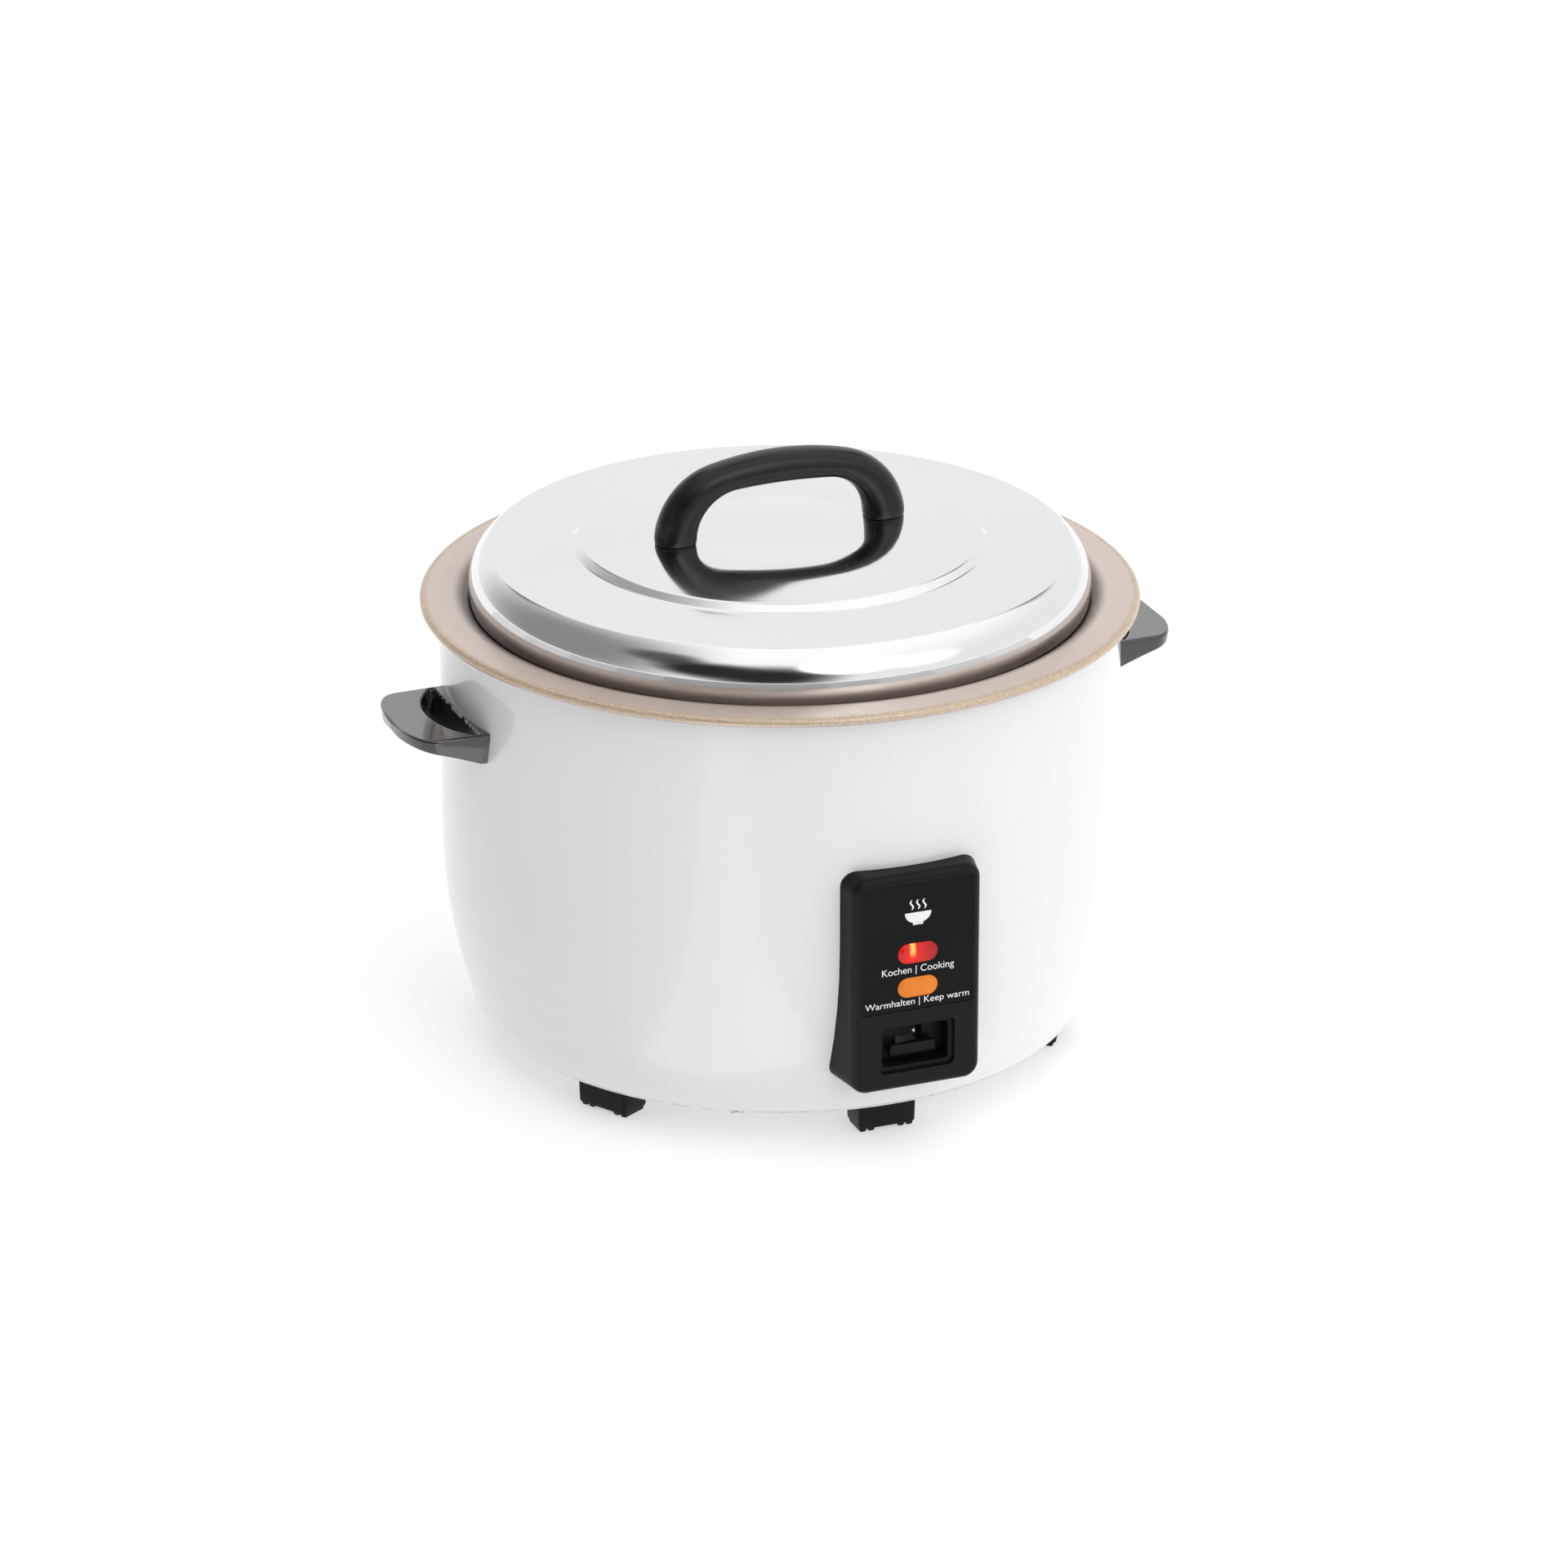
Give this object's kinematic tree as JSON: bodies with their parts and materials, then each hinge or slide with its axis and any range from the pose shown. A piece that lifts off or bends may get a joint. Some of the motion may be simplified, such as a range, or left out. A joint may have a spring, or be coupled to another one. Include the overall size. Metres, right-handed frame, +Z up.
{
  "type": "rice cooker",
  "caption": "Large round electric rice cooker with a steel housing, lift-out pot, polished lid with arched handle, side grips and a front panel with cook lever.",
  "frame": {"origin": "on the ground, on the pot's axis, at the middle of the feet", "axes": "+Z up along the pot's axis; the control panel faces -Y; the side handles point along +X and -X"},
  "size_m": [0.448, 0.3911, 0.336],
  "materials": {
    "white_enamel": "gloss stoved enamel, clean",
    "bright_steel": "plain rolled sheet",
    "galvanised": "zinc plated sheet",
    "screw_steel": "zinc plated fasteners",
    "nonstick": "champagne non-stick coating, satin with a fine metallic fleck",
    "polished_steel": "mirror polished stainless sheet",
    "black_plastic": "fine textured black moulding",
    "gloss_black": "gloss black phenolic moulding",
    "silicone": "soft washer",
    "label_black": "smooth printed film, plain black",
    "red_lens": "translucent red lens",
    "amber_lens": "translucent amber lens",
    "lamp_glass": "small neon lamp",
    "board": "bare lamp strip",
    "switch_plastic": "switch case",
    "brass": "bare contacts",
    "plate_aluminium": "turned cast aluminium",
    "ferrite": "sintered ferrite",
    "spring_steel": "spring wire",
    "element_sheath": "oxidised heater sheath",
    "ceramic": "white ceramic",
    "mica": "mica and foil band",
    "brown_wire": "silicone insulation",
    "blue_wire": "silicone insulation",
    "green_wire": "silicone insulation"
  },
  "bodies": {
    "cooker": {"base_plate": "galvanised", "base_screws": "screw_steel", "chassis_screws": "screw_steel", "control_panel": "black_plastic", "cook_lamp": "lamp_glass", "cook_lens": "red_lens", "earth_wire": "green_wire", "element_terminals": "brass", "foot_1": "black_plastic", "foot_2": "black_plastic", "foot_3": "black_plastic", "foot_4": "black_plastic", "foot_5": "black_plastic", "foot_6": "black_plastic", "foot_screws": "screw_steel", "fuse_strap": "galvanised", "heat_shield": "galvanised", "heating_element": "element_sheath", "heating_plate": "plate_aluminium", "housing_shell": "white_enamel", "inlet_pins": "brass", "inlet_screws": "screw_steel", "inlet_socket": "black_plastic", "inner_liner": "bright_steel", "lamp_board": "board", "lever_pin": "screw_steel", "lever_window": "black_plastic", "live_wire": "brown_wire", "microswitch": "switch_plastic", "neutral_wire": "blue_wire", "panel_label": "label_black", "panel_screws": "screw_steel", "plate_standoffs": "screw_steel", "sensor_sleeve": "galvanised", "shield_spacers": "screw_steel", "side_handle_left": "gloss_black", "side_handle_right": "gloss_black", "side_handle_screws": "screw_steel", "switch_bracket": "galvanised", "switch_terminals": "brass", "terminal_block": "ceramic", "terminal_screws": "brass", "thermal_fuse": "ceramic", "warm_band_heater": "mica", "warm_lamp": "lamp_glass", "warm_lens": "amber_lens"},
    "pot": {"inner_pot": "nonstick"},
    "lid": {"lid": "polished_steel", "lid_handle": "black_plastic", "lid_handle_washers": "silicone", "lid_handle_screws": "screw_steel"},
    "lever": {"cook_lever": "galvanised", "lever_paddle": "black_plastic"},
    "sensor": {"sensor_cup": "plate_aluminium", "ferrite_disc": "ferrite", "sensor_spring": "spring_steel"},
    "magnet": {"magnet": "ferrite", "magnet_rod": "screw_steel", "magnet_spring": "spring_steel"},
    "button": {"switch_button": "switch_plastic"}
  },
  "joints": [
    {"name": "pot_lift", "type": "slide", "parent": "cooker", "child": "pot", "axis": [0, 0, 1], "range_m": [0, 0.22]},
    {"name": "lid_lift", "type": "slide", "parent": "pot", "child": "lid", "axis": [0, 0, 1], "range_m": [0, 0.25]},
    {"name": "cook_lever", "type": "hinge", "parent": "cooker", "child": "lever", "pos_m": [0, -0.098, 0.05], "axis": [-1, 0, 0], "range_deg": [0, 4.9]},
    {"name": "sensor_press", "type": "slide", "parent": "cooker", "child": "sensor", "axis": [0, 0, -1], "range_m": [0, 0.0015], "stiffness_N_per_m": 1500, "springref_m": -0.004, "deforming": ["sensor_spring"]},
    {"name": "magnet_drop", "type": "slide", "parent": "sensor", "child": "magnet", "axis": [0, 0, -1], "range_m": [0, 0.0085], "deforming": ["magnet_spring"]},
    {"name": "button_press", "type": "slide", "parent": "cooker", "child": "button", "axis": [0, 0, -1], "range_m": [0, 0.0016]}
  ],
  "couplings": [
    {"joint": "magnet_drop", "follows": "cook_lever", "m_per_rad": 0.098},
    {"joint": "button_press", "follows": "cook_lever", "m_per_rad": 0.018}
  ]
}
